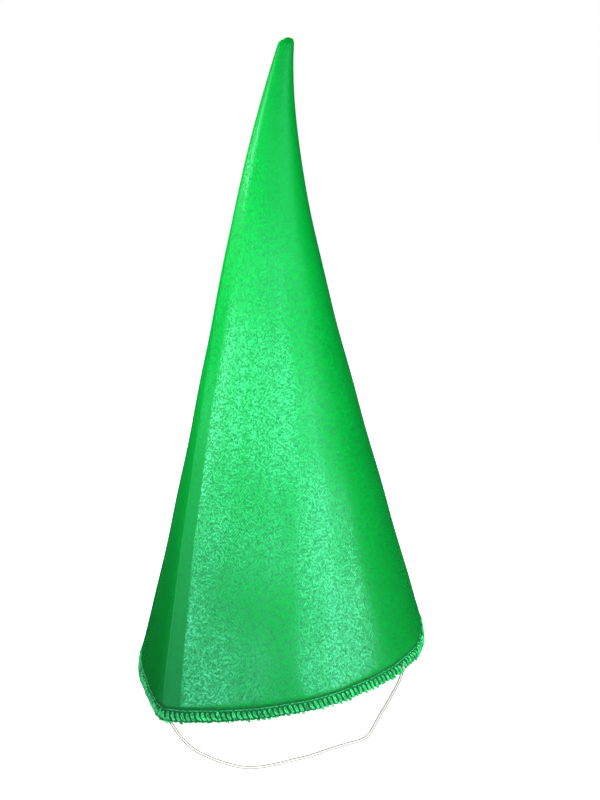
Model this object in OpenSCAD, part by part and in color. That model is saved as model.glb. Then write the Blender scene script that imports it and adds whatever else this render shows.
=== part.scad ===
// Pointed satin costume hat without a brim, with a round chin elastic.
// Two panels of satin bonded to foam and knit backing are joined by a front and a back seam.
// The raw rim is bound by a three-thread overlock, and the elastic is tacked inside it at two places.
// Millimetres. The origin is the centre of the rim plane, +Z runs up to the tip and -Y is the front.

/* [Crown] */
// Mean radius of the rim, over the cloth
rim_r = 81; // [75:1:90]
// Height from the rim's lower edge to the tip
crown_h = 360; // [330:1:390]
// Radius of the rounded tip
tip_r = 4; // [3.8:0.1:6]
// How far the sides hollow in on the way up: 1 is a straight cone
taper = 1.14; // [1:0.01:1.3]
// Sideways lean of the whole cone at the tip
lean_even = 9; // [0:0.5:20]
// Extra sideways lean that curls the last third
lean_tip = 14.5; // [0:0.5:20]

/* [Seams and facets] */
// Azimuth of the front seam at the rim, turning from +X towards +Y
seam_az = 229; // [215:1:240]
// How far the seam turns towards the left side on its way to the tip, in degrees
seam_turn = 39; // [0:1:60]
// How far the front seam's corner stands out at the rim, as a share of the radius
corner_out = 0.27; // [0:0.01:0.35]
// How quickly that corner fades on the way up
corner_fade = 4.1; // [1:0.1:6]
// How far the seam's narrow ridge stands out, as a share of the radius
ridge_out = 0.07; // [0:0.01:0.1]
// How far the back seam's corner stands out, as a share of the radius
back_out = 0.06; // [0:0.01:0.15]
// How flat the front facet is, as a share of the radius
front_flat = 0.065; // [0:0.005:0.1]
// Width of the seam allowance that is pressed to the front
allowance_w = 8; // [5:1:12]

/* [Cloth] */
// Thickness of the satin
satin_t = 0.4; // [0.3:0.1:0.8]
// Thickness of the foam
foam_t = 2.6; // [1.5:0.1:3]
// Thickness of the knit backing
lining_t = 0.4; // [0.3:0.1:0.8]
// Height of the overlock stitches on the rim
overlock_h = 5; // [4:0.5:10]

/* [Chin elastic] */
// Diameter of the round elastic
elastic_d = 2; // [1.5:0.1:2.2]
// Diameter of the knot at each end
knot_d = 5; // [4:0.5:6]

/* [Hidden] */
// Angles of the outline in degrees: how soft each corner is, and how far it spreads
corner_soft = 4;
corner_spread = 32;
ridge_soft = 3;
ridge_spread = 14;
back_soft = 6;
back_spread = 20;
// The front facet's middle stands this far from the front seam, and it fades over this many degrees
facet_turn = 75;
facet_spread = 40;
// How soon the seam turns: 0 is evenly, and more is nearer the rim
turn_early = 1.07;

columns = 18;
body_rows = 22;
dome_rows = 3;
rows = body_rows + dome_rows;
// Rows stand closer together towards the tip: 1 is evenly
row_crowding = 1.2;
// Inner layers end lower at the tip, by this much times the square of their inset
tip_sink = 1.8;
seam_rows = 18;
seam_top = 0.8 * crown_h;

// Insets are measured inwards from the satin's face
foam_inset = satin_t;
lining_inset = foam_inset + foam_t;
inner_inset = lining_inset + lining_t;
thread_t = 0.6;
cloth_foot = 0.5;
clearance = 0.1;
thread_gap = 0.3;
needle_gap = 1.2;
allowance_gap = 0.8;
allowance_t = 2.8;
allowance_start = 0.6;
looper_reach = 2.4;

// The elastic hangs in the plane y = elastic_y, and these are its x and z from end to end
elastic_y = -33;
elastic_route = [
    [-80, -1.5], [-77.5, -11], [-73.5, -21.5], [-69, -31.5], [-64.5, -40], [-59.5, -46.5], [-52.5, -52],
    [-42.5, -57.5], [-32, -61.5], [-22.5, -62.5], [-12.5, -61.5], [-2.5, -59.5], [8, -57.5], [16.5, -55],
    [25, -52.5], [33, -50.5], [39, -49], [43.5, -46], [47, -40.5], [50.5, -34], [54.5, -27.5],
    [59, -19.5], [63, -12], [65, -6], [65.5, -1.5]
];
elastic_left = elastic_route[0][0];
elastic_right = elastic_route[len(elastic_route) - 1][0];
elastic_sides = 8;
ring_steps = 2;
end_h = 10;
// How far the elastic's end reaches into its knot
knot_grip = 0.5;
end_lean = 0.34;
tack_z = 4;
tack_half = elastic_d / 2 + clearance;
tack_thread = 0.5;

satin_green = [0.10, 0.72, 0.30];
thread_green = [0.08, 0.60, 0.22];
foam_green = [0.30, 0.62, 0.38];
lining_green = [0.16, 0.55, 0.27];
elastic_white = [0.94, 0.94, 0.91];

// ---- Shape of the crown ----

function wrap(angle) = (angle + 540) % 360 - 180;
function rounded(angle, softness) = sqrt(angle * angle + softness * softness) - softness;
function peak(angle, softness, width) = exp(-rounded(angle, softness) / width);

// t is the height as a share of the crown's height
function crown_r(t) = (rim_r - tip_r) * pow(max(0, 1 - t), taper) + tip_r;
function centre_x(t) = lean_even * t + lean_tip * pow(t, 6);
function front_seam_az(t) = seam_az - seam_turn * (1 - exp(-turn_early * t)) / (1 - exp(-turn_early));

function outline(az, t) =
    let (turn = wrap(az - front_seam_az(t)))
    let (from_seam = abs(turn), above = max(0, 1 - t))
    1
    + corner_out * pow(above, corner_fade) * peak(from_seam, corner_soft, corner_spread)
    + ridge_out * sqrt(above) * peak(from_seam, ridge_soft, ridge_spread)
    + back_out * above * above * peak(180 - from_seam, back_soft, back_spread)
    - front_flat * above * exp(-pow(wrap(turn - facet_turn) / facet_spread, 2));

// A point of the surface that lies inset inside the satin's face
function crown_point(az, z, inset, share = 1) =
    let (t = z / crown_h)
    let (r = (crown_r(t) * outline(az, t) - inset) * share)
    [centre_x(t) + r * cos(az), r * sin(az), z];

// ---- Panels ----

// The lowest rows stand where the overlock stitches begin and end
foot_rows = [cloth_foot, overlock_h, overlock_h + 2 * needle_gap];

// Columns stand closer together near the seams
function column_az(j, side, t) =
    let (u = j / columns)
    front_seam_az(t) + 180 * side + 180 * (u - 0.5 * sin(360 * u) / (2 * PI));

function layer_top(inset) = crown_h - inset - tip_sink * inset * inset;
function row_z(i, inset) =
    let (base = layer_top(inset) - tip_r, first = len(foot_rows) - 1)
    i < first ? foot_rows[i]
    : i < body_rows
        ? foot_rows[first]
            + (base - foot_rows[first]) * (1 - pow(1 - (i - first) / (body_rows - 1 - first), row_crowding))
        : base + tip_r * sin(90 * (i - body_rows + 1) / (dome_rows + 1));
function row_share(i) = i < body_rows ? 1 : cos(90 * (i - body_rows + 1) / (dome_rows + 1));

function layer_points(side, inset) = concat(
    [for (i = [0:rows - 1], j = [0:columns])
        let (z = row_z(i, inset))
        crown_point(column_az(j, side, z / crown_h), z, inset, row_share(i))],
    [[centre_x(layer_top(inset) / crown_h), 0, layer_top(inset)]]
);

// One layer of one panel: a half shell between two insets, closed at the tip
module panel_layer(side, outer, inner) {
    width = columns + 1;
    count = rows * width + 1;
    tip = rows * width;
    last = rows - 1;
    polyhedron(
        points = concat(layer_points(side, outer), layer_points(side, inner)),
        faces = concat(
            [for (i = [0:last - 1], j = [0:columns - 1])
                let (a = i * width + j, b = a + width)
                each [[a, b, b + 1], [a, b + 1, a + 1]]],
            [for (i = [0:last - 1], j = [0:columns - 1])
                let (a = count + i * width + j, b = a + width)
                each [[a, b + 1, b], [a, a + 1, b + 1]]],
            [for (j = [0:columns - 1])
                let (a = last * width + j)
                each [[a, tip, a + 1], [count + a, count + a + 1, count + tip]]],
            [for (j = [0:columns - 1])
                each [[j, j + 1, count + j + 1], [j, count + j + 1, count + j]]],
            [for (i = [0:last - 1])
                let (a = i * width, b = a + width)
                each [[b, a, count + a], [b, count + a, count + b]]],
            [for (i = [0:last - 1])
                let (a = i * width + columns, b = a + width)
                each [[a, b, count + a], [b, count + b, count + a]]],
            [let (a = last * width) each [[tip, a, count + a], [tip, count + a, count + tip]]],
            [let (a = last * width + columns) each [[a, tip, count + a], [tip, count + tip, count + a]]]
        )
    );
}

module satin_panel(side) {
    color(satin_green) panel_layer(side, 0, foam_inset);
}

module foam_panel(side) {
    color(foam_green) panel_layer(side, foam_inset, lining_inset);
}

module lining_panel(side) {
    color(lining_green) panel_layer(side, lining_inset, inner_inset);
}

// ---- Swept shapes ----

// Faces of a tube whose rings of n points follow each other; a section runs anticlockwise
function tube_sides(rings, n, closed) =
    [for (j = [0:rings - (closed ? 1 : 2)], k = [0:n - 1])
        let (next = (j + 1) % rings, up = (k + 1) % n)
        each [[j * n + k, j * n + up, next * n + up], [j * n + k, next * n + up, next * n + k]]];

function tube_ends(rings, n) = [
    [for (k = [0:n - 1]) n - 1 - k],
    [for (k = [0:n - 1]) (rings - 1) * n + k]
];

// A band all round the rim; its section is a list of [inset, z]
module rim_band(section) {
    n = len(section);
    rings = 2 * columns;
    polyhedron(
        points = [for (j = [0:rings - 1], corner = section)
            let (side = floor(j / columns))
            let (az = column_az(j - side * columns, side, corner[1] / crown_h))
            crown_point(az, corner[1], corner[0])],
        faces = tube_sides(rings, n, true)
    );
}

// A strip up a seam, inside the crown; its section is a list of [arc from the seam, inset]
module seam_band(side, z_low, z_high, section) {
    n = len(section);
    polyhedron(
        points = [for (i = [0:seam_rows - 1], corner = section)
            let (z = z_low + (z_high - z_low) * i / (seam_rows - 1))
            let (t = z / crown_h)
            let (seam = front_seam_az(t) + 180 * side)
            let (arc_sign = side == 0 ? 1 : -1)
            let (turn = corner[0] / (crown_r(t) * outline(seam, t) - corner[1]) * 180 / PI)
            crown_point(seam + arc_sign * turn, z, corner[1])],
        faces = let (sides = tube_sides(seam_rows, n, false), ends = tube_ends(seam_rows, n))
            [for (f = concat(sides, ends)) side == 0 ? f : [for (k = [len(f) - 1:-1:0]) f[k]]]
    );
}

// ---- Seams ----

allowance_inset = inner_inset + allowance_gap;
allowance_end = allowance_start + allowance_w;
seam_foot = overlock_h + 0.5;

module seam_allowance(side) {
    inner = allowance_inset + allowance_t;
    middle = (allowance_start + allowance_end) / 2;
    color(lining_green) seam_band(side, seam_foot, seam_top, [
        [allowance_start, allowance_inset], [middle, allowance_inset], [allowance_end, allowance_inset],
        [allowance_end, inner], [middle, inner], [allowance_start, inner]
    ]);
}

module seam_needle_thread(side) {
    r = 0.25;
    color(thread_green) seam_band(side, seam_foot, seam_top, [
        for (k = [0:4]) [r * sin(72 * k), allowance_inset + r - r * cos(72 * k)]
    ]);
}

module seam_looper_thread(side) {
    outer = allowance_inset - clearance;
    inner = allowance_inset + allowance_t + clearance;
    near = allowance_end - looper_reach;
    edge = allowance_end + clearance;
    wrap_t = 0.3;
    color(thread_green) seam_band(side, seam_foot, seam_top, [
        [near, outer - wrap_t], [edge + wrap_t, outer - wrap_t], [edge + wrap_t, inner + wrap_t],
        [near, inner + wrap_t], [near, inner], [edge, inner], [edge, outer], [near, outer]
    ]);
}

// ---- Rim ----

rim_foot = cloth_foot - clearance;
rim_middle = (foam_inset + lining_inset) / 2;

module rim_needle_thread() {
    r = 0.3;
    color(thread_green) rim_band([
        for (k = [0:5]) [-r - thread_gap - r * cos(60 * k), overlock_h + needle_gap + r * sin(60 * k)]
    ]);
}

module rim_upper_looper_thread() {
    color(thread_green) rim_band([
        [-thread_gap - thread_t, 0], [-thread_gap - thread_t, overlock_h], [-thread_gap, overlock_h],
        [-thread_gap, rim_foot], [rim_middle - clearance, rim_foot], [rim_middle - clearance, 0]
    ]);
}

module rim_lower_looper_thread() {
    inner = inner_inset + thread_gap;
    color(thread_green) rim_band([
        [rim_middle, 0], [rim_middle, rim_foot], [inner, rim_foot],
        [inner, overlock_h], [inner + thread_t, overlock_h], [inner + thread_t, 0]
    ]);
}

// ---- Chin elastic ----

// A smooth curve through the route: the point a share f of the way from point i to the next
function route_at(i, f) =
    let (last = len(elastic_route) - 1)
    let (a = elastic_route[max(0, i - 1)], b = elastic_route[i])
    let (c = elastic_route[min(last, i + 1)], d = elastic_route[min(last, i + 2)])
    0.5 * (2 * b + (c - a) * f + (2 * a - 5 * b + 4 * c - d) * f * f + (3 * b - a - 3 * c + d) * pow(f, 3));

centres = concat(
    [for (i = [0:len(elastic_route) - 2], s = [0:ring_steps - 1]) route_at(i, s / ring_steps)],
    [elastic_route[len(elastic_route) - 1]]
);

function heading(i) =
    let (d = centres[min(len(centres) - 1, i + 1)] - centres[max(0, i - 1)])
    d / norm(d);

// Each ring is [centre, heading, radius]; both ends close as half balls
function rings_of_elastic() =
    let (r = elastic_d / 2, last = len(centres) - 1)
    concat(
        [for (a = [80, 45]) [centres[0] - heading(0) * r * sin(a), heading(0), r * cos(a)]],
        [for (i = [0:last]) [centres[i], heading(i), r]],
        [for (a = [45, 80]) [centres[last] + heading(last) * r * sin(a), heading(last), r * cos(a)]]
    );

module elastic_cord() {
    rings = rings_of_elastic();
    color(elastic_white) polyhedron(
        points = [for (ring = rings, k = [0:elastic_sides - 1])
            let (turn = 360 * k / elastic_sides)
            let (across = ring[2] * cos(turn), along = ring[2] * sin(turn))
            [ring[0][0] - ring[1][1] * across, elastic_y + along, ring[0][1] + ring[1][0] * across]],
        faces = concat(tube_sides(len(rings), elastic_sides, false), tube_ends(len(rings), elastic_sides))
    );
}

// A round rod from one point to another
module rod(from, to, r) {
    way = to - from;
    length = norm(way);
    translate(from)
        rotate([0, acos(way[2] / length), atan2(way[1], way[0])])
            cylinder(r = r, h = length, $fn = 32);
}

// The end of the elastic follows the leaning wall up to its knot
function end_point(x, z) =
    let (y = elastic_y, reach = norm([x, y]))
    [x, y, 0] * (reach - end_lean * z) / reach + [0, 0, z];

module elastic_end(x) {
    color(elastic_white) rod(end_point(x, 0), end_point(x, end_h), elastic_d / 2);
}

module elastic_knot(x) {
    reach = norm([x, elastic_y]);
    inwards = [-x, -elastic_y, 0] / reach * (knot_d - elastic_d) / 2;
    color(elastic_white)
        translate(end_point(x, end_h + knot_d / 2 - knot_grip) + inwards)
            sphere(d = knot_d, $fn = 48);
}

// A staple of thread round the elastic's end, through the rim and back
module elastic_tack(x) {
    centre = end_point(x, tack_z);
    t = tack_z / crown_h;
    az = atan2(centre[1], centre[0] - centre_x(t));
    inside = norm([centre[0] - centre_x(t), centre[1]]) - tack_half;
    outside = crown_r(t) * outline(az, t) + thread_gap + clearance + thread_t;
    color(elastic_white)
        translate([centre_x(t), 0, tack_z])
            rotate([0, 0, az])
                difference() {
                    translate([inside - tack_thread, -tack_half - tack_thread, -tack_thread / 2])
                        cube([outside - inside + 2 * tack_thread, 2 * (tack_half + tack_thread), tack_thread]);
                    translate([inside, -tack_half, -tack_thread])
                        cube([outside - inside, 2 * tack_half, 2 * tack_thread]);
                }
}

satin_panel(0);  // satin_front_panel
satin_panel(1);  // satin_back_panel
foam_panel(0);  // foam_front_panel
foam_panel(1);  // foam_back_panel
lining_panel(0);  // lining_front_panel
lining_panel(1);  // lining_back_panel
seam_allowance(0);  // front_seam_allowance
seam_allowance(1);  // back_seam_allowance
seam_needle_thread(0);  // front_seam_needle_thread
seam_needle_thread(1);  // back_seam_needle_thread
seam_looper_thread(0);  // front_seam_looper_thread
seam_looper_thread(1);  // back_seam_looper_thread
rim_needle_thread();
rim_upper_looper_thread();
rim_lower_looper_thread();
elastic_cord();
elastic_end(elastic_left);  // elastic_end_left
elastic_end(elastic_right);  // elastic_end_right
elastic_knot(elastic_left);  // elastic_knot_left
elastic_knot(elastic_right);  // elastic_knot_right
elastic_tack(elastic_left);  // elastic_tack_left
elastic_tack(elastic_right);  // elastic_tack_right
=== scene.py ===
import math
import random

import bpy
import numpy as np
from mathutils import Euler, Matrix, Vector


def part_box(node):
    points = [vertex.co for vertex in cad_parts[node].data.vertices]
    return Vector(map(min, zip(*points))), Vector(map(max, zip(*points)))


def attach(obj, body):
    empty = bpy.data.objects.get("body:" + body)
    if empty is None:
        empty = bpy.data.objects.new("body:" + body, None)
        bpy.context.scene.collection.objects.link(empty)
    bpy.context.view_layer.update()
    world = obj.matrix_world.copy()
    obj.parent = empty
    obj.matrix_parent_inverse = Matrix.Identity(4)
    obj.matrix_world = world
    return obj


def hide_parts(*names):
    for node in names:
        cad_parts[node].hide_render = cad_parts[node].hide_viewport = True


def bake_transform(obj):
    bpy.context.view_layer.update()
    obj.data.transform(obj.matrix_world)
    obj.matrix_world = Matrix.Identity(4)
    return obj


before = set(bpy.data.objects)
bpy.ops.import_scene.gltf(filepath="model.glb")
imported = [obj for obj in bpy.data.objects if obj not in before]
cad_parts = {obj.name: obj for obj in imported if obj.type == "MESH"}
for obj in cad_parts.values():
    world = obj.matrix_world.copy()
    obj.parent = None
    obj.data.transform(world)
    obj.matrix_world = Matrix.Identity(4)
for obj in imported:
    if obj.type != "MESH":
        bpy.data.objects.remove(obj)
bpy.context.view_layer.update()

# A pointed satin costume hat without a brim. Metres, in the CAD model's frame.
# The crown's formulas are the CAD model's own. The cloth adds the seams' and the hem's relief to them.

MM = 0.001
HAT = "hat"
random.seed(7)


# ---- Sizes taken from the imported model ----

CROWN_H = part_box("satin_front_panel")[1].z
OVERLOCK_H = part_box("rim_lower_looper_thread")[1].z
NEEDLE_Z = (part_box("rim_needle_thread")[0].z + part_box("rim_needle_thread")[1].z) / 2
CLOTH_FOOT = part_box("satin_front_panel")[0].z
SEAM_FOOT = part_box("front_seam_allowance")[0].z
SEAM_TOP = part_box("front_seam_allowance")[1].z
ELASTIC_Y = (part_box("elastic_cord")[0].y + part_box("elastic_cord")[1].y) / 2
ELASTIC_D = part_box("elastic_cord")[1].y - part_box("elastic_cord")[0].y
END_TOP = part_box("elastic_end_left")[1].z
KNOT_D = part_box("elastic_knot_left")[1].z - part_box("elastic_knot_left")[0].z

# ---- The crown's driving values, as in the CAD model ----

RIM_R = 0.081
TIP_R = 0.004
TAPER = 1.14
LEAN_EVEN = 0.009
LEAN_TIP = 0.0145
SEAM_AZ = 229
SEAM_TURN = 39
TURN_EARLY = 1.07
CORNER_OUT = 0.27
CORNER_FADE = 4.1
RIDGE_OUT = 0.07
BACK_OUT = 0.06
FRONT_FLAT = 0.065
# Degrees: how soft each corner of the outline is, and how far it spreads
CORNER_SOFT = 4
CORNER_SPREAD = 32
RIDGE_SOFT = 3
RIDGE_SPREAD = 14
BACK_SOFT = 6
BACK_SPREAD = 20
FACET_TURN = 75
FACET_SPREAD = 40
SATIN_T = 0.4 * MM
FOAM_T = 2.6 * MM
LINING_T = 0.4 * MM
ALLOWANCE_W = 8 * MM
ALLOWANCE_T = 2.8 * MM
ALLOWANCE_START = 0.6 * MM
ALLOWANCE_GAP = 0.8 * MM
# A layer's tip sinks by this many mm times the square of its inset in mm
TIP_SINK = 1.8
# The elastic's ends lean inwards by this share of their height
END_LEAN = 0.34

# The elastic hangs in the plane y = ELASTIC_Y, and these are its x and z from end to end
ELASTIC_ROUTE = [
    (-0.080, -0.0015), (-0.0775, -0.011), (-0.0735, -0.0215), (-0.069, -0.0315), (-0.0645, -0.040),
    (-0.0595, -0.0465), (-0.0525, -0.052), (-0.0425, -0.0575), (-0.032, -0.0615), (-0.0225, -0.0625),
    (-0.0125, -0.0615), (-0.0025, -0.0595), (0.008, -0.0575), (0.0165, -0.055), (0.025, -0.0525),
    (0.033, -0.0505), (0.039, -0.049), (0.0435, -0.046), (0.047, -0.0405), (0.0505, -0.034),
    (0.0545, -0.0275), (0.059, -0.0195), (0.063, -0.012), (0.065, -0.006), (0.0655, -0.0015),
]

# ---- Sewing ----

STITCH = 2.9 * MM
YARN_R = 0.44 * MM
THREAD_R = 0.2 * MM
CUT_YARNS = 420
LAYER_GAP = 0.03 * MM
BRAID_PLIES = 8
TACK_WRAPS = 6
# Degrees from the elastic's end to the bar of thread on the face
TACK_SLIP = 6.5
# One unit of the knot's formula, which reaches 3 units out, as a share of the CAD knot's radius
KNOT_SHARE = 0.27
# How far from a panel's second edge the satin stays smooth
FACET_W = 40 * MM
# The flat strip behind each seam, the dip along the seam, and how softly a strip's crease fades
BACK_ROLL = 5 * MM
ROLL_DEPTH = 0.25 * MM
ROLL_W = 0.6 * MM
CREASE_SOFT = 1.5 * MM
# Strips beside a seam narrow above the height where the crown has this radius
NARROW_R = 22 * MM
# The dip along the needle line, and how far the overlock squeezes the hem below it
GROOVE_DEPTH = 1.1 * MM
GROOVE_W = 1.2 * MM
BAND_DEPTH = 0.6 * MM
# The hem's turn inwards: depth, height, then middle and spread in degrees from the front seam
CURL = 0.9 * MM
CURL_H = 8 * MM
CURL_AT = 25
CURL_SPREAD = 45
# How much deeper the face loops' feet are tucked there
TUCK = 1.3 * MM


# ---- Shape of the crown ----

def smooth(low, high, value):
    """0 below low, 1 above high, and a soft step between them."""
    u = np.clip((value - low) / (high - low), 0, 1)
    return u * u * (3 - 2 * u)


def wrap(angle):
    """The same angle between -180 and 180."""
    return (angle + 540) % 360 - 180


def peak(angle, softness, width):
    """1 at angle 0, fading with the width; the softness rounds its top."""
    return np.exp(-(np.sqrt(angle * angle + softness * softness) - softness) / width)


def crown_r(t):
    return (RIM_R - TIP_R) * np.maximum(0, 1 - t) ** TAPER + TIP_R


def centre_x(t):
    return LEAN_EVEN * t + LEAN_TIP * t ** 6


def front_seam_az(t):
    return SEAM_AZ - SEAM_TURN * (1 - np.exp(-TURN_EARLY * t)) / (1 - math.exp(-TURN_EARLY))


def outline(turn, t):
    """Radius as a share of crown_r. turn is in degrees from the front seam."""
    turn = wrap(turn)
    from_seam = np.abs(turn)
    above = np.maximum(0, 1 - t)
    return (1 + CORNER_OUT * above ** CORNER_FADE * peak(from_seam, CORNER_SOFT, CORNER_SPREAD)
            + RIDGE_OUT * np.sqrt(above) * peak(from_seam, RIDGE_SOFT, RIDGE_SPREAD)
            + BACK_OUT * above * above * peak(180 - from_seam, BACK_SOFT, BACK_SPREAD)
            - FRONT_FLAT * above * np.exp(-(wrap(turn - FACET_TURN) / FACET_SPREAD) ** 2))


def smooth_radius(turn, t):
    return crown_r(t) * outline(turn, t)


def strip_angle(t, width):
    """Degrees that a strip of this width takes beside a seam; it narrows where the crown does."""
    r = crown_r(t)
    return np.degrees(width * np.minimum(1, r / NARROW_R) / r)


def chord(turn, t, at, reach):
    """Radius of the straight line between the crown's points at the turns at and at + reach."""
    a = np.radians((turn - at) * np.sign(reach))
    span = np.radians(np.abs(reach))
    r1, r2 = smooth_radius(at, t), smooth_radius(at + reach, t)
    return r1 * r2 * np.sin(span) / (r1 * np.sin(a) + r2 * np.sin(span - a))


def faceted_radius(turn, t):
    """The crown's radius with flat strips: over both seam allowances, and behind both seams."""
    turn = turn % 360
    r = smooth_radius(turn, t)
    fold = strip_angle(t, ALLOWANCE_W)
    roll = strip_angle(t, BACK_ROLL)
    soft = strip_angle(t, CREASE_SOFT)
    for at, reach in ((0, fold), (180, -fold), (180, roll), (360, -roll)):
        inside = (turn - at) * np.sign(reach)
        width = np.abs(reach)
        near = (inside >= 0) & (inside < width + soft)
        flat = chord(np.where(near, turn, at), t, at, reach)
        share = 1 - smooth(width - soft, width + soft, inside)
        r = np.where(near, r + (flat - r) * share, r)
    return r


def seam_distance(turn, t):
    """Arc from the nearer seam."""
    turn = turn % 360
    nearest = np.minimum(np.minimum(turn, 360 - turn), np.abs(turn - 180))
    return np.radians(nearest) * crown_r(t)


def front_left(turn):
    """1 where the hem turns in the most, beside the front seam, and 0 far from there."""
    return np.exp(-((wrap(turn) - CURL_AT) / CURL_SPREAD) ** 2)


def ripple(turn, z):
    """Low waves of the rim, slow ones of the whole cloth, and the rim's turn inwards."""
    a = np.radians(turn)
    rim = np.exp(-z / (22 * MM))
    waves = 0.35 * np.sin(7 * a + 0.8) + 0.3 * np.sin(12 * a + 2.0) + 0.15 * np.sin(23 * a + 1.0)
    slow = 0.35 * np.sin(2 * a + 55 * z) * np.sin(38 * z + 1.2) * smooth(0, 0.05, z)
    curl = CURL * front_left(turn) * np.maximum(0, 1 - z / CURL_H) ** 2
    return (waves * rim + slow * np.minimum(1, crown_r(z / CROWN_H) / (40 * MM))) * MM - curl


def relief(turn, z):
    """How far the face is pulled in by the two seams, the needle line and the overlock."""
    t = z / CROWN_H
    seam = ROLL_DEPTH * np.exp(-seam_distance(turn, t) / ROLL_W) * smooth(0, 0.03, 1 - t)
    stitches = np.radians(turn) * RIM_R / STITCH
    pull = 1 + 0.3 * np.cos(2 * np.pi * stitches)
    groove = GROOVE_DEPTH * pull * np.exp(-((z - NEEDLE_Z) / GROOVE_W) ** 2)
    band = BAND_DEPTH * (1 - smooth(OVERLOCK_H - 1.5 * MM, OVERLOCK_H + 1.0 * MM, z))
    pucker = 0.12 * MM * np.cos(2 * np.pi * stitches / 3) * np.exp(-((z - NEEDLE_Z - 3 * MM) / (3 * MM)) ** 2)
    return -(seam + groove + band) + pucker


def crown_point(turn, z, inset=0.0, share=1.0, relief_share=1.0):
    """A point that lies inset inside the crown's face."""
    turn = np.asarray(turn, float)
    z = np.asarray(z, float) + 0 * turn
    t = z / CROWN_H
    az = np.radians(front_seam_az(t) + turn)
    r = (faceted_radius(turn, t) + ripple(turn, z) + relief_share * relief(turn, z) - inset) * share
    return np.stack([centre_x(t) + r * np.cos(az), r * np.sin(az), z], -1)


# ---- Mesh tools ----

def new_object(name, points, faces, uvs=None, body=HAT):
    """A smooth mesh object. faces is a list of arrays, each (count, corners); uvs go with the points."""
    corners = np.concatenate([f.ravel() for f in faces])
    totals = np.concatenate([np.full(len(f), f.shape[1]) for f in faces])
    mesh = bpy.data.meshes.new(name)
    mesh.vertices.add(len(points))
    mesh.vertices.foreach_set("co", np.asarray(points, np.float32).ravel())
    mesh.loops.add(len(corners))
    mesh.loops.foreach_set("vertex_index", corners.astype(np.int32))
    mesh.polygons.add(len(totals))
    mesh.polygons.foreach_set("loop_start", (np.cumsum(totals) - totals).astype(np.int32))
    mesh.polygons.foreach_set("use_smooth", np.ones(len(totals), bool))
    mesh.update(calc_edges=True)
    if uvs is not None:
        layer = mesh.uv_layers.new(name="cloth")
        layer.data.foreach_set("uv", np.asarray(uvs, np.float32)[corners].ravel())
    mesh.validate()
    obj = bpy.data.objects.new(name, mesh)
    bpy.context.scene.collection.objects.link(obj)
    if body:
        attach(obj, body)
    return obj


def grid_faces(rows, cols, start=0, flip=False):
    """Quads of a grid of points, stored row after row from start."""
    i, j = np.meshgrid(np.arange(rows - 1), np.arange(cols - 1), indexing="ij")
    a = (start + i * cols + j).ravel()
    quads = np.stack([a, a + 1, a + cols + 1, a + cols], -1)
    return quads[:, ::-1] if flip else quads


def edge_faces(edge, count, flip=False):
    """Quads that join a line of points to the same line of the other layer, count points on."""
    a, b = edge[:-1], edge[1:]
    quads = np.stack([b, a, a + count, b + count], -1)
    return quads[:, ::-1] if flip else quads


def shell_faces(rows, cols):
    """Faces of a closed slab between two grids of points: open only where a tip closes it."""
    count = rows * cols
    first_row = np.arange(cols)
    left = np.arange(rows) * cols
    return [grid_faces(rows, cols), grid_faces(rows, cols, count, flip=True),
            edge_faces(first_row, count), edge_faces(left, count, flip=True),
            edge_faces(left + cols - 1, count)]


def tip_faces(rows, cols):
    """Fans from a slab's last rows to two tip points that follow the two grids."""
    count = rows * cols
    a = (rows - 1) * cols + np.arange(cols - 1)
    tip = np.full(cols - 1, 2 * count)
    end = a[-1] + 1
    return [np.stack([a, a + 1, tip], -1), np.stack([count + a + 1, count + a, tip + 1], -1),
            np.array([[2 * count, 2 * count + 1, count + a[0], a[0]],
                      [end, count + end, 2 * count + 1, 2 * count]])]


def frames_along(path):
    """Tangent, side and up at each point of a path, carried along without twist."""
    path = np.asarray(path, float)
    tangent = np.gradient(path, axis=0)
    tangent /= np.linalg.norm(tangent, axis=1, keepdims=True) + 1e-12
    side = np.zeros_like(path)
    seed = np.array([0.0, 0.0, 1.0]) if abs(tangent[0][2]) < 0.9 else np.array([1.0, 0.0, 0.0])
    side[0] = np.cross(tangent[0], seed)
    for k in range(1, len(path)):
        side[k] = side[k - 1] - tangent[k] * (side[k - 1] @ tangent[k])
        if np.linalg.norm(side[k]) < 1e-9:
            side[k] = np.cross(tangent[k], seed)
        side[k] /= np.linalg.norm(side[k])
    side[0] /= np.linalg.norm(side[0])
    return tangent, side, np.cross(tangent, side)


def tube(path, radius, sides=8, plies=0, lay=0.0, depth=0.25):
    """Points and faces of a closed tube. With plies it is a twisted yarn, one turn in each lay."""
    path = np.asarray(path, float)
    n = len(path)
    _, side, up = frames_along(path)
    length = np.concatenate([[0], np.cumsum(np.linalg.norm(np.diff(path, axis=0), axis=1))])
    angle = np.linspace(0, 2 * np.pi, sides, endpoint=False)
    r = np.broadcast_to(np.asarray(radius, float), (n,)).copy()
    r[0] *= 0.45
    r[-1] *= 0.45
    spread = np.ones((n, sides))
    if plies:
        twist = 2 * np.pi * length[:, None] / lay
        spread = 1 - depth * (0.5 - 0.5 * np.cos(plies * angle[None, :] - plies * twist)) ** 1.5
    ring = r[:, None, None] * spread[:, :, None] * (
        np.cos(angle)[None, :, None] * side[:, None, :] + np.sin(angle)[None, :, None] * up[:, None, :])
    points = (path[:, None, :] + ring).reshape(-1, 3)
    i, k = np.meshgrid(np.arange(n - 1), np.arange(sides), indexing="ij")
    a, b = (i * sides + k).ravel(), (i * sides + (k + 1) % sides).ravel()
    ends = np.array([np.arange(sides)[::-1], (n - 1) * sides + np.arange(sides)])
    around = np.tile(np.arange(sides) / sides, n)
    along = np.repeat(length, sides)
    return points, [np.stack([a, b, b + sides, a + sides], -1), ends], np.stack([around, along], -1)


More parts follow.
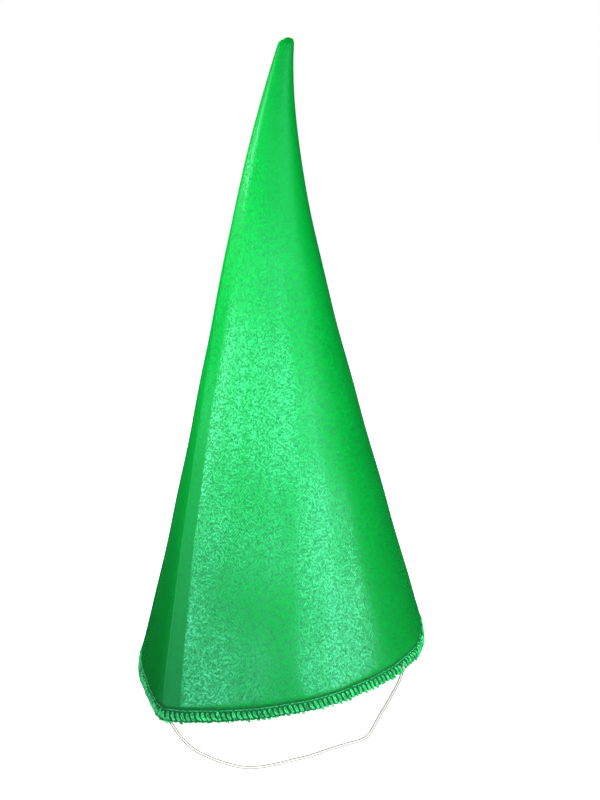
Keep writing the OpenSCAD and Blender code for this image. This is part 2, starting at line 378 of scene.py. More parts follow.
def joined(name, parts, body=HAT):
    """One object out of many parts, each with its points, faces and uvs."""
    points, faces, uvs, start = [], [], [], 0
    for part_points, part_faces, part_uvs in parts:
        points.append(part_points)
        uvs.append(part_uvs)
        faces += [f + start for f in part_faces]
        start += len(part_points)
    return new_object(name, np.concatenate(points), faces, np.concatenate(uvs), body)


def rounded_path(corners, steps=6):
    """A Catmull-Rom curve through the corners."""
    p = np.asarray(corners, float)
    p = np.concatenate([[2 * p[0] - p[1]], p, [2 * p[-1] - p[-2]]])
    f = np.linspace(0, 1, steps, endpoint=False)[:, None]
    out = []
    for a, b, c, d in zip(p[:-3], p[1:-2], p[2:-1], p[3:]):
        out.append(0.5 * (2 * b + (c - a) * f + (2 * a - 5 * b + 4 * c - d) * f ** 2
                          + (3 * b - a - 3 * c + d) * f ** 3))
    out.append(p[-2][None, :])
    return np.concatenate(out)


# ---- Materials ----

def material(name):
    mat = bpy.data.materials.new(name)
    mat.use_nodes = True
    tree = mat.node_tree
    return mat, tree, tree.nodes["Principled BSDF"]


def node(tree, kind, settings=None, **inputs):
    """A node with settings and inputs. An input that is a socket is linked."""
    made = tree.nodes.new(kind)
    for key, value in (settings or {}).items():
        setattr(made, key, value)
    for key, value in inputs.items():
        socket = made.inputs[int(key[1:])] if key[0] == "i" and key[1:].isdigit() else made.inputs[key]
        if isinstance(value, bpy.types.NodeSocket):
            tree.links.new(value, socket)
        else:
            socket.default_value = value
    return made


def maths(tree, operation, a, b=0.0):
    return node(tree, "ShaderNodeMath", {"operation": operation}, i0=a, i1=b).outputs[0]


def mix(tree, factor, a, b):
    made = node(tree, "ShaderNodeMix", {"data_type": "RGBA"})
    for socket, value in ((made.inputs[0], factor), (made.inputs[6], a), (made.inputs[7], b)):
        if isinstance(value, bpy.types.NodeSocket):
            tree.links.new(value, socket)
        else:
            socket.default_value = value
    return made.outputs[2]


def ramp(tree, value, stops):
    """A colour ramp; each stop is (place, colour)."""
    made = node(tree, "ShaderNodeValToRGB", Fac=value)
    elements = made.color_ramp.elements
    for k, (place, colour) in enumerate(stops):
        element = elements[k] if k < 2 else elements.new(place)
        element.position = place
        element.color = colour
    return made.outputs[0]


def cloth_uv(tree, turn_deg=0.0, scale=(1, 1)):
    """The flat cloth's coordinates in metres, turned and scaled."""
    uv = node(tree, "ShaderNodeUVMap", {"uv_map": "cloth"}).outputs[0]
    mapping = node(tree, "ShaderNodeMapping", {"vector_type": "TEXTURE"}, Vector=uv)
    mapping.inputs["Rotation"].default_value = Euler((0, 0, math.radians(turn_deg)))
    mapping.inputs["Scale"].default_value = (1 / scale[0], 1 / scale[1], 1)
    return mapping.outputs[0]


def noise_at(tree, vector, scale, detail=2.0, rough=0.5):
    return node(tree, "ShaderNodeTexNoise", Vector=vector, Scale=scale, Detail=detail,
                Roughness=rough).outputs["Fac"]


def rgb(r, g, b):
    return (r, g, b, 1.0)


def satin_material():
    mat, tree, shader = material("green_satin")
    plain = cloth_uv(tree)
    # Twill lines of the weave, broken up by the yarns' unevenness
    lines = node(tree, "ShaderNodeTexWave", {"wave_type": "BANDS", "bands_direction": "Y"},
                 Vector=cloth_uv(tree, 38), Scale=265.0, Distortion=3.0, Detail=2.0)
    lines.inputs["Detail Scale"].default_value = 1.5
    yarn = noise_at(tree, cloth_uv(tree, 38, (0.35, 1)), 1500, 2)
    weave = maths(tree, "ADD", maths(tree, "MULTIPLY", lines.outputs["Fac"], 0.6),
                  maths(tree, "MULTIPLY", yarn, 0.4))
    grain = ramp(tree, noise_at(tree, plain, 750, 1, 0.5), [(0.38, rgb(0, 0, 0)), (0.62, rgb(1, 1, 1))])
    patches = ramp(tree, noise_at(tree, plain, 260, 2, 0.6), [(0.36, rgb(0, 0, 0)), (0.64, rgb(1, 1, 1))])
    clouds = noise_at(tree, plain, 28, 2)
    mottle = maths(tree, "ADD", maths(tree, "MULTIPLY", grain, 0.65), maths(tree, "MULTIPLY", patches, 0.35))
    # The allowance under each panel's first edge, and the facet beside its second, keep the satin smooth
    beside = node(tree, "ShaderNodeSeparateXYZ", Vector=cloth_uv(tree, -90 * CONE_SHARE)).outputs[0]
    strip = ramp(tree, maths(tree, "DIVIDE", beside, ALLOWANCE_W), [(0.9, rgb(1, 1, 1)), (1.0, rgb(0, 0, 0))])
    other = node(tree, "ShaderNodeSeparateXYZ", Vector=cloth_uv(tree, 90 * CONE_SHARE)).outputs[0]
    facet = ramp(tree, maths(tree, "DIVIDE", other, -FACET_W), [(0.6, rgb(1, 1, 1)), (1.0, rgb(0, 0, 0))])
    # The overlock pulls the cloth down along the hem; there the satin gets painted shade, and is kept smooth
    # and matte
    place = node(tree, "ShaderNodeTexCoord").outputs["Object"]
    height = node(tree, "ShaderNodeSeparateXYZ", Vector=place).outputs[2]
    hem = ramp(tree, maths(tree, "DIVIDE", height, NEEDLE_Z * 2), [(0.5, rgb(1, 1, 1)), (0.72, rgb(0, 0, 0))])
    low = ramp(tree, maths(tree, "DIVIDE", height, CROWN_H), [(0.36, rgb(1, 1, 1)), (0.52, rgb(0, 0, 0))])
    pressed = maths(tree, "MULTIPLY", strip, low)
    smooth_parts = maths(tree, "MAXIMUM", maths(tree, "MAXIMUM", hem, pressed), facet)
    unevenness = maths(tree, "ADD", maths(tree, "MULTIPLY", mottle, 0.45),
                       maths(tree, "MULTIPLY", clouds, 0.1))
    tone = maths(tree, "ADD", maths(tree, "MULTIPLY", weave, 0.45), unevenness)
    even = mix(tree, maths(tree, "MULTIPLY", smooth_parts, 0.75), tone, rgb(0.5, 0.5, 0.5))
    colour = ramp(tree, even, [(0.2, rgb(0.0002, 0.16, 0.014)), (0.5, rgb(0.0004, 0.30, 0.030)),
                               (0.8, rgb(0.0010, 0.48, 0.056))])
    # Painted shade: the colour is mixed towards a dark shaded green along the hem, and a little on the
    # pressed strip low on the crown
    painted_shade = maths(tree, "MAXIMUM", hem, maths(tree, "MULTIPLY", pressed, 0.2))
    shaded = rgb(0.0001, 0.03, 0.002)
    cloth_colour = mix(tree, maths(tree, "MULTIPLY", painted_shade, 0.62), colour, shaded)
    tree.links.new(cloth_colour, shader.inputs["Base Color"])
    rough = ramp(tree, mottle, [(0.05, rgb(0.48, 0.48, 0.48)), (0.95, rgb(0.15, 0.15, 0.15))])
    matte = mix(tree, facet, rough, rgb(0.34, 0.34, 0.34))
    matte = mix(tree, maths(tree, "MAXIMUM", hem, pressed), matte, rgb(0.7, 0.7, 0.7))
    tree.links.new(matte, shader.inputs["Roughness"])
    shader.inputs["Specular IOR Level"].default_value = 1.0
    shader.inputs["Specular Tint"].default_value = rgb(0.28, 1.0, 0.95)
    shader.inputs["Sheen Weight"].default_value = 0.03
    shader.inputs["Sheen Roughness"].default_value = 0.3
    shader.inputs["Sheen Tint"].default_value = rgb(0.02, 1.0, 0.3)
    relief_height = maths(tree, "ADD", maths(tree, "MULTIPLY", weave, 0.4),
                          maths(tree, "MULTIPLY", mottle, 0.6))
    bump = node(tree, "ShaderNodeBump", Distance=0.035 * MM, Height=relief_height)
    tree.links.new(maths(tree, "SUBTRACT", 1.0, maths(tree, "MULTIPLY", smooth_parts, 0.8)),
                   bump.inputs["Strength"])
    tree.links.new(bump.outputs[0], shader.inputs["Normal"])
    return mat


def foam_material():
    mat, tree, shader = material("green_foam")
    place = node(tree, "ShaderNodeTexCoord").outputs["Object"]
    pores = node(tree, "ShaderNodeTexVoronoi", Vector=place, Scale=2200.0).outputs["Distance"]
    tone = noise_at(tree, place, 260, 3)
    colour = ramp(tree, tone, [(0.3, rgb(0.05, 0.26, 0.10)), (0.7, rgb(0.10, 0.38, 0.16))])
    tree.links.new(colour, shader.inputs["Base Color"])
    shader.inputs["Roughness"].default_value = 0.9
    bump = node(tree, "ShaderNodeBump", Strength=0.6, Distance=0.2 * MM, Height=pores)
    tree.links.new(bump.outputs[0], shader.inputs["Normal"])
    return mat


def lining_material():
    mat, tree, shader = material("green_knit")
    wales = node(tree, "ShaderNodeTexWave", {"wave_type": "BANDS", "bands_direction": "X"},
                 Vector=cloth_uv(tree), Scale=260.0, Distortion=0.8, Detail=1.0).outputs["Fac"]
    courses = node(tree, "ShaderNodeTexWave", {"wave_type": "BANDS", "bands_direction": "Y"},
                   Vector=cloth_uv(tree), Scale=330.0, Distortion=0.8, Detail=1.0).outputs["Fac"]
    loops = maths(tree, "MULTIPLY", wales, courses)
    tone = noise_at(tree, cloth_uv(tree), 150, 3)
    base = ramp(tree, tone, [(0.3, rgb(0.010, 0.16, 0.045)), (0.7, rgb(0.018, 0.25, 0.075))])
    colour = mix(tree, loops, base, rgb(0.03, 0.34, 0.11))
    tree.links.new(colour, shader.inputs["Base Color"])
    shader.inputs["Roughness"].default_value = 0.8
    shader.inputs["Sheen Weight"].default_value = 0.3
    shader.inputs["Sheen Tint"].default_value = rgb(0.4, 1.0, 0.6)
    bump = node(tree, "ShaderNodeBump", Strength=0.6, Distance=0.2 * MM, Height=loops)
    tree.links.new(bump.outputs[0], shader.inputs["Normal"])
    return mat


def thread_material(name, dark, light, tint, rough):
    """Twisted filament thread: lengthways streaks, and each stretch a little lighter or darker."""
    mat, tree, shader = material(name)
    place = node(tree, "ShaderNodeTexCoord").outputs["Object"]
    streaks = noise_at(tree, cloth_uv(tree, 0, (1, 0.0015)), 14, 2)
    patches = noise_at(tree, place, 520, 3, 0.65)
    tone = maths(tree, "ADD", maths(tree, "MULTIPLY", streaks, 0.4), maths(tree, "MULTIPLY", patches, 0.6))
    tree.links.new(ramp(tree, tone, [(0.42, dark), (0.57, light)]), shader.inputs["Base Color"])
    shader.inputs["Roughness"].default_value = rough
    shader.inputs["Specular IOR Level"].default_value = 1.0
    shader.inputs["Specular Tint"].default_value = tint
    bump = node(tree, "ShaderNodeBump", Strength=0.5, Distance=0.08 * MM, Height=streaks)
    tree.links.new(bump.outputs[0], shader.inputs["Normal"])
    return mat


def elastic_material():
    """White braided cover: two sets of slanting yarns over each other."""
    mat, tree, shader = material("white_braid")
    uv = node(tree, "ShaderNodeUVMap", {"uv_map": "cloth"}).outputs[0]
    parts = node(tree, "ShaderNodeSeparateXYZ", Vector=uv)
    around = maths(tree, "MULTIPLY", parts.outputs[0], 8.0)
    along = maths(tree, "MULTIPLY", parts.outputs[1], 1 / (1.6 * MM))
    right = maths(tree, "SINE", maths(tree, "MULTIPLY", maths(tree, "ADD", around, along), math.tau))
    left = maths(tree, "SINE", maths(tree, "MULTIPLY", maths(tree, "SUBTRACT", around, along), math.tau))
    braid = maths(tree, "ADD", maths(tree, "MULTIPLY", maths(tree, "MAXIMUM", right, left), 0.5), 0.5)
    soil = noise_at(tree, node(tree, "ShaderNodeTexCoord").outputs["Object"], 90, 2)
    base = ramp(tree, braid, [(0.3, rgb(0.78, 0.77, 0.73)), (0.7, rgb(0.95, 0.94, 0.91))])
    cover = mix(tree, maths(tree, "MULTIPLY", soil, 0.2), base, rgb(0.82, 0.79, 0.72))
    # Painted shade: the braid's colour darkens towards its edges as its yarns turn away
    edge = ramp(tree, node(tree, "ShaderNodeLayerWeight", Blend=0.5).outputs["Facing"],
                [(0.08, rgb(0, 0, 0)), (0.24, rgb(1, 1, 1))])
    colour = mix(tree, edge, cover, rgb(0.15, 0.135, 0.125))
    tree.links.new(colour, shader.inputs["Base Color"])
    # Painted light: the braid also glows with its own colour, so that it stays white where little light falls
    tree.links.new(colour, shader.inputs["Emission Color"])
    shader.inputs["Emission Strength"].default_value = 0.5
    shader.inputs["Roughness"].default_value = 0.6
    bump = node(tree, "ShaderNodeBump", Strength=0.6, Distance=0.1 * MM, Height=braid)
    tree.links.new(bump.outputs[0], shader.inputs["Normal"])
    return mat


def floor_material():
    mat, tree, shader = material("pale_floor")
    place = node(tree, "ShaderNodeTexCoord").outputs["Object"]
    tone = noise_at(tree, place, 3, 3)
    tree.links.new(ramp(tree, tone, [(0.3, rgb(0.90, 0.90, 0.90)), (0.7, rgb(0.93, 0.93, 0.93))]),
                   shader.inputs["Base Color"])
    shader.inputs["Roughness"].default_value = 0.85
    shader.inputs["Emission Color"].default_value = rgb(1, 1, 1)
    shader.inputs["Emission Strength"].default_value = FLOOR_GLOW
    return mat


# ---- Camera and light ----

CAMERA_AT = Vector((0.0171, -1.1602, 0.6185))
CAMERA_EL = 21.85
CAMERA_ROLL = -3.91
FLOOR_Z = -0.35
FLOOR_GLOW = 1.0


def make_camera():
    data = bpy.data.cameras.new("camera")
    data.lens = 100
    data.sensor_width = 36
    data.clip_end = 50
    obj = bpy.data.objects.new("camera", data)
    look = Euler((math.radians(90 - CAMERA_EL), 0, 0)).to_matrix()
    roll = Euler((0, 0, math.radians(CAMERA_ROLL))).to_matrix()
    obj.matrix_world = (look @ roll).to_4x4()
    obj.location = CAMERA_AT
    bpy.context.scene.collection.objects.link(obj)
    bpy.context.scene.camera = obj


def softbox(name, azimuth, elevation, distance, aim, size, radiance, spread=180, seen=("diffuse", "glossy")):
    """An area light. Azimuth turns from +X towards +Y; its watts give the stated radiance."""
    a, e = math.radians(azimuth), math.radians(elevation)
    way = Vector((math.cos(a) * math.cos(e), math.sin(a) * math.cos(e), math.sin(e)))
    data = bpy.data.lights.new(name, "AREA")
    data.shape = "RECTANGLE"
    data.size, data.size_y = size
    data.energy = radiance * math.pi * size[0] * size[1]
    data.spread = math.radians(spread)
    obj = bpy.data.objects.new(name, data)
    obj.location = Vector(aim) + way * distance
    obj.rotation_mode = "QUATERNION"
    obj.rotation_quaternion = way.to_track_quat("Z", "Y")
    obj.visible_diffuse = "diffuse" in seen
    obj.visible_glossy = "glossy" in seen
    obj.visible_camera = False
    bpy.context.scene.collection.objects.link(obj)


def make_world():
    world = bpy.data.worlds.new("studio")
    world.use_nodes = True
    background = world.node_tree.nodes["Background"]
    background.inputs["Color"].default_value = rgb(1, 1, 1)
    background.inputs["Strength"].default_value = 1.0
    bpy.context.scene.world = world
    world.cycles_visibility.diffuse = False
    world.cycles_visibility.glossy = False


def make_floor():
    half = 8.0
    points = [(-half, -half, FLOOR_Z), (half, -half, FLOOR_Z), (half, half, FLOOR_Z), (-half, half, FLOOR_Z)]
    mesh = bpy.data.meshes.new("floor")
    mesh.from_pydata(points, [], [(0, 1, 2, 3)])
    obj = bpy.data.objects.new("floor", mesh)
    bpy.context.scene.collection.objects.link(obj)
    mesh.materials.append(floor_material())
    obj.visible_diffuse = False
    obj.visible_glossy = False


make_camera()
bpy.context.scene.view_settings.view_transform = "Standard"


# ---- Chin elastic ----

def end_point(x, z):
    """The end of the elastic follows the leaning wall up to its knot."""
    reach = math.hypot(x, ELASTIC_Y)
    share = (reach - END_LEAN * z) / reach
    return np.array([x * share, ELASTIC_Y * share, z])


LEFT_X = ELASTIC_ROUTE[0][0]
RIGHT_X = ELASTIC_ROUTE[-1][0]
elastic_points = [end_point(LEFT_X, END_TOP), end_point(LEFT_X, END_TOP / 2)]
elastic_points += [np.array([x, ELASTIC_Y, z]) for x, z in ELASTIC_ROUTE]
elastic_points += [end_point(RIGHT_X, END_TOP / 2), end_point(RIGHT_X, END_TOP)]
elastic_path = rounded_path(elastic_points, 16)

WHITE_BRAID = elastic_material()
WHITE_THREAD = thread_material("white_thread", rgb(0.75, 0.74, 0.70), rgb(0.92, 0.91, 0.88),
                               tint=rgb(1, 1, 1), rough=0.5)


def make_elastic():
    braid = tube(elastic_path, ELASTIC_D / 2, 24, BRAID_PLIES, 14 * MM, 0.07)
    obj = joined("chin_elastic_braid", [braid], None)
    obj.data.materials.append(WHITE_BRAID)
    return obj


def make_knot(side, x):
    """An overhand knot with a short cut tail."""
    s = np.linspace(0, 2 * np.pi, 72)
    scale = KNOT_D / 2 * KNOT_SHARE
    pulled_r = ELASTIC_D * 0.42
    loop = np.stack([np.sin(s) + 2 * np.sin(2 * s), np.cos(s) - 2 * np.cos(2 * s), -np.sin(3 * s)], -1)
    reach = math.hypot(x, ELASTIC_Y)
    inwards = np.array([-x, -ELASTIC_Y, 0]) / reach
    centre = end_point(x, END_TOP + KNOT_D * 0.4) + inwards * (KNOT_D - ELASTIC_D) / 2
    tail = (inwards * 0.4 + np.array([0, 0, 1.0])) * KNOT_D * 0.75
    way = np.linspace(0, 1, 8)[:, None]
    droop = np.array([0, 0, -0.18 * KNOT_D])
    obj = joined("elastic_knot_tied_" + side, [
        tube(route, pulled_r, 14, BRAID_PLIES, 9 * MM, 0.08)
        for route in (centre + loop * scale, centre + way * tail + way ** 2 * droop)])
    obj.data.materials.append(WHITE_BRAID)
    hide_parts("elastic_knot_" + side)
    return obj


def make_tack(side, x, shows):
    """Wraps of thread that hold the elastic's end to the rim; shows says if they pass the face."""
    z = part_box("elastic_tack_" + side)[0].z / 2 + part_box("elastic_tack_" + side)[1].z / 2
    t = z / CROWN_H
    centre = end_point(x, z)
    out = np.array([centre[0] - centre_x(t), centre[1], 0.0])
    out /= np.linalg.norm(out)
    across = np.array([-out[1], out[0], 0.0])
    turn = math.degrees(math.atan2(out[1], out[0])) % 360 - front_seam_az(t)
    # The outer bar lies on the face, lower and slipped towards the front, or stays inside the cloth
    slip, low, deep = (TACK_SLIP, -1.6 * MM, -0.75 * MM) if shows else (0.0, 0.0, 2.2 * MM)
    near = -ELASTIC_D / 2 - 0.15 * MM
    half = ELASTIC_D / 2 + 0.1 * MM
    round_elastic = [(near, 0), (near + 0.5 * MM, half), (half, half),
                     (half, -half), (near + 0.5 * MM, -half), (near, 0)]
    parts = []
    for k in range(TACK_WRAPS):
        rise = (k - (TACK_WRAPS - 1) / 2) * THREAD_R * 1.7 + random.uniform(-0.1, 0.1) * MM
        slim = math.degrees(random.uniform(0.5, 0.8) * MM / RIM_R)
        bar = [crown_point(turn - slip + way * slim, z + rise + low, deep) for way in (1, -1)]
        inner = [centre + out * a + across * b + np.array([0, 0, rise]) for a, b in round_elastic]
        path = np.array(inner[:3] + bar + inner[3:])
        parts.append(tube(rounded_path(path, 5), THREAD_R, 7, 2, 1.6 * MM))
    obj = joined("elastic_tack_stitches_" + side, parts)
    obj.data.materials.append(WHITE_THREAD)
    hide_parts("elastic_tack_" + side)


elastic = make_elastic()
knots = [make_knot("left", LEFT_X), make_knot("right", RIGHT_X)]
make_tack("left", LEFT_X, shows=False)
make_tack("right", RIGHT_X, shows=True)
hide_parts("elastic_cord", "elastic_end_left", "elastic_end_right")
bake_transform(elastic)


# ---- Panels ----

EDGE_STEPS = np.array([0.04, 0.25, 0.5, 0.8, 1.2, 1.8, 2.6, 3.6, 4.8, 6.0, 7.0, 8.0, 9.0, 10.2, 11.6]) * MM
MIDDLE_COLUMNS = 110
BODY_ROWS = 190
DOME_ANGLES = np.radians(np.array([18, 36, 54, 70, 82]))
# The tangent of the cone's half angle; the flat pattern fans out by this share of the turn
CONE_SHARE = 0.22


def panel_turns(t):
    """Turns of a panel's columns at height t, from 0 at one seam to 180 at the other."""
    near = strip_angle(t, EDGE_STEPS)
    u = np.linspace(0, 1, MIDDLE_COLUMNS + 2)[1:-1]
    middle = near[-1] + u * (180 - 2 * near[-1])
    return np.concatenate([near, middle, (180 - near)[::-1]])


def panel_heights(top):
    """Heights of a panel's rows below its rounded tip, close together at the hem."""
    foot = np.concatenate([np.arange(CLOTH_FOOT, OVERLOCK_H, 0.9 * MM),
                           np.arange(OVERLOCK_H, NEEDLE_Z + 2 * MM, 0.3 * MM)])
    body = np.linspace(NEEDLE_Z + 2 * MM, top - TIP_R, BODY_ROWS)
    return np.concatenate([foot, body])


def flat_cloth(turn, z):
    """Where a point lies on the panel's flat pattern, in metres from the tip."""
    slant = (CROWN_H - z) * math.hypot(1, CONE_SHARE)
    angle = np.radians(turn - 90) * CONE_SHARE
    return np.stack([slant * np.sin(angle), -slant * np.cos(angle)], -1)


def panel_layer(name, side, outer_inset, inner_inset, follow=(1.0, 1.0)):
    """One layer of one panel. follow says how much of the seams' relief each face takes."""
    top = CROWN_H - outer_inset - TIP_SINK * (outer_inset / MM) ** 2 * MM
    heights = panel_heights(top)
    shares = np.ones(len(heights))
    heights = np.concatenate([heights, top - TIP_R + TIP_R * np.sin(DOME_ANGLES)])
    shares = np.concatenate([shares, np.cos(DOME_ANGLES)])
    outer, inner, flat = [], [], []
    for z, share in zip(heights, shares):
        turns = panel_turns(z / CROWN_H)
        # Where the crown is narrow, both insets shrink, so that the inner face stays inside
        thin = min(1.0, float(crown_r(z / CROWN_H)) * share / (inner_inset + 1.5 * MM))
        outer.append(crown_point(turns + 180 * side, z, outer_inset * thin, share, follow[0]))
        inner.append(crown_point(turns + 180 * side, z, inner_inset * thin, share, follow[1]))
        flat.append(flat_cloth(turns, z))
    tip_x = centre_x(top / CROWN_H)
    thick = inner_inset - outer_inset
    outer, inner, flat = np.array(outer), np.array(inner), np.array(flat)
    rows, cols = outer.shape[:2]
    tips = np.array([[tip_x, 0.0, top], [tip_x, 0.0, top - max(thick * 0.5, 0.1 * MM)]])
    points = np.concatenate([outer.reshape(-1, 3), inner.reshape(-1, 3), tips])
    uvs = np.concatenate([flat.reshape(-1, 2), flat.reshape(-1, 2), np.zeros((2, 2))])
    return new_object(name, points, shell_faces(rows, cols) + tip_faces(rows, cols), uvs)


SATIN = satin_material()
FOAM = foam_material()
LINING = lining_material()


def make_panels():
    made = {}
    for side, name in enumerate(("front", "back")):
        satin = panel_layer(f"satin_{name}_cloth", side, 0.0, SATIN_T)
        foam = panel_layer(f"foam_{name}_sheet", side, SATIN_T + LAYER_GAP, SATIN_T + FOAM_T, (1.0, 0.3))
        lining = panel_layer(f"lining_{name}_knit", side, SATIN_T + FOAM_T + LAYER_GAP,
                             SATIN_T + FOAM_T + LINING_T, (0.3, 0.3))
        for obj, mat, slot in ((satin, SATIN, "satin"), (foam, FOAM, "foam"), (lining, LINING, "lining")):
            obj.data.materials.append(mat)
            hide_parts(f"{slot}_{name}_panel")
            made[slot, name] = obj
    return made


panels = make_panels()


# ---- Seam allowances and their threads ----

def seam_point(side, z, arc, inset):
    """A point inside the crown, arc beside the front (0) or back (1) seam, over the front panel."""
    z = np.asarray(z, float)
    t = z / CROWN_H
    sign = 1 if side == 0 else -1
    at = 180 * side
    r = smooth_radius(at, t) - inset
    turn = at + sign * np.degrees(arc / r)
    return crown_point(turn, z, inset, relief_share=0.0)


ALLOWANCE_INSET = SATIN_T + FOAM_T + LINING_T + ALLOWANCE_GAP
SEAM_HEIGHTS = np.arange(SEAM_FOOT, SEAM_TOP, 2.4 * MM)


def layer_strip(side, low, high, shift):
    """Points and faces of one cloth layer of an allowance, with a wavy free edge."""
    arcs = np.linspace(ALLOWANCE_START, ALLOWANCE_START + ALLOWANCE_W, 9)
    outer, inner, flat = [], [], []
    for z in SEAM_HEIGHTS:
        wave = 0.25 * MM * np.sin(z / (4.3 * MM) + shift) + 0.15 * MM * np.sin(z / (1.7 * MM) + 2 * shift)
        reach = arcs + wave * (arcs - ALLOWANCE_START) / ALLOWANCE_W
        lift = 0.18 * MM * np.sin(z / (6 * MM) + reach / (3 * MM)) * (reach / ALLOWANCE_W)
        outer.append(seam_point(side, z, reach, low + lift))
        inner.append(seam_point(side, z, reach, high + lift))
        flat.append(np.stack([reach, np.full(len(arcs), z)], -1))
    outer, inner = np.array(outer), np.array(inner)
    rows, cols = outer.shape[:2]
    last_row = (rows - 1) * cols + np.arange(cols)
    faces = shell_faces(rows, cols) + [edge_faces(last_row, rows * cols, flip=True)]
    if side == 1:
        faces = [f[:, ::-1] for f in faces]
    flat = np.concatenate([np.array(flat).reshape(-1, 2)] * 2)
    return np.concatenate([outer.reshape(-1, 3), inner.reshape(-1, 3)]), faces, flat


def make_allowance(side, name):
    """Two plies pressed to the front, each of knit, foam and satin, with the satin faces together."""
    gap = 0.04 * MM
    ply = ALLOWANCE_T / 2
    knit, face = 0.3 * MM, 0.3 * MM
    edges = [0, knit, ply - face, ply, ply + face, 2 * ply - knit, 2 * ply]
    # The material slots of the layers: 2 is knit, 1 foam and 0 satin
    kinds = [2, 1, 0, 0, 1, 2]
    parts = [layer_strip(side, ALLOWANCE_INSET + low + gap / 2, ALLOWANCE_INSET + high - gap / 2, 0.7 * k)
             for k, (low, high) in enumerate(zip(edges[:-1], edges[1:]))]
    obj = joined(f"{name}_seam_allowance_layers", parts)
    for mat in (SATIN, FOAM, LINING):
        obj.data.materials.append(mat)
    of_layer = [np.full(sum(len(f) for f in faces), kind) for (_, faces, _), kind in zip(parts, kinds)]
    obj.data.polygons.foreach_set("material_index", np.concatenate(of_layer))
    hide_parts(f"{name}_seam_allowance")
    return obj


def make_seam_needle(side, name):
    """Lock stitches down the root of the allowance."""
    parts = []
    for z in np.arange(SEAM_FOOT + STITCH, SEAM_TOP - STITCH, STITCH):
        along = np.linspace(0, 1, 7)
        dip = 0.35 * MM * (2 * along - 1) ** 4
        path = [seam_point(side, z + 0.86 * STITCH * f, 0.15 * MM, ALLOWANCE_INSET + 0.25 * MM - d)
                for f, d in zip(along, dip)]
        parts.append(tube(path, 0.25 * MM, 7, 2, 1.3 * MM))
    obj = joined(f"{name}_seam_stitches", parts)
    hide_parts(f"{name}_seam_needle_thread")
    return obj


def make_seam_looper(side, name):
    """Overlock loops round the allowance's raw edge."""
    near = ALLOWANCE_START + ALLOWANCE_W - 2.6 * MM
    edge = ALLOWANCE_START + ALLOWANCE_W + 0.45 * MM
    low = ALLOWANCE_INSET - 0.22 * MM
    high = ALLOWANCE_INSET + ALLOWANCE_T + 0.3 * MM
    middle = (low + high) / 2
    corners = []
    for z in np.arange(SEAM_FOOT + 0.5 * STITCH, SEAM_TOP - STITCH, STITCH):
        push = random.uniform(-0.2, 0.2) * MM
        corners += [seam_point(side, z, near + push, high), seam_point(side, z + 0.2 * STITCH, near, high),
                    seam_point(side, z + 0.35 * STITCH, edge - 0.5 * MM, high),
                    seam_point(side, z + 0.45 * STITCH, edge + push, middle),
                    seam_point(side, z + 0.55 * STITCH, edge - 0.6 * MM, low),
                    seam_point(side, z + 0.7 * STITCH, edge, middle),
                    seam_point(side, z + 0.85 * STITCH, edge - 0.4 * MM, high)]
    obj = joined(f"{name}_seam_overlock", [tube(rounded_path(corners, 3), 0.3 * MM, 8, 3, 2 * MM)])
    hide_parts(f"{name}_seam_looper_thread")
    return obj


GREEN_THREAD = thread_material("green_thread", rgb(0.0005, 0.27, 0.035), rgb(0.08, 1.0, 0.34),
                               tint=rgb(0.4, 1, 0.7), rough=0.28)

for seam_side, seam_name in enumerate(("front", "back")):
    make_allowance(seam_side, seam_name)
    for seam_thread in (make_seam_needle(seam_side, seam_name), make_seam_looper(seam_side, seam_name)):
        seam_thread.data.materials.append(GREEN_THREAD)


# ---- Rim overlock ----

def rim_turns():
    """Turns that part the rim into stitches of one length."""
    turn = np.linspace(0, 360, 8 * 360 + 1)
    points = crown_point(turn, 3 * MM, relief_share=0.0)
    arc = np.concatenate([[0], np.cumsum(np.linalg.norm(np.diff(points, axis=0), axis=1))])
    count = round(arc[-1] / STITCH)
    return np.interp(np.arange(count) * arc[-1] / count, arc, turn)


RIM_TURNS = rim_turns()
CLOTH_T = SATIN_T + FOAM_T + LINING_T
# How much of a face loop's tilt each of its corners takes, from under the edge up
LOOP_LEAN = [1, 1, 1, 0.6]


def next_step(k):
    """Degrees from stitch k to the next one."""
    return (RIM_TURNS[(k + 1) % len(RIM_TURNS)] - RIM_TURNS[k]) % 360


def rim_path(corners, turn, step):
    """A path round the rim: each corner is (stitches along, height, inset from the face)."""
    return np.array([crown_point(turn + s * step, z, inset, relief_share=0.0) for s, z, inset in corners])


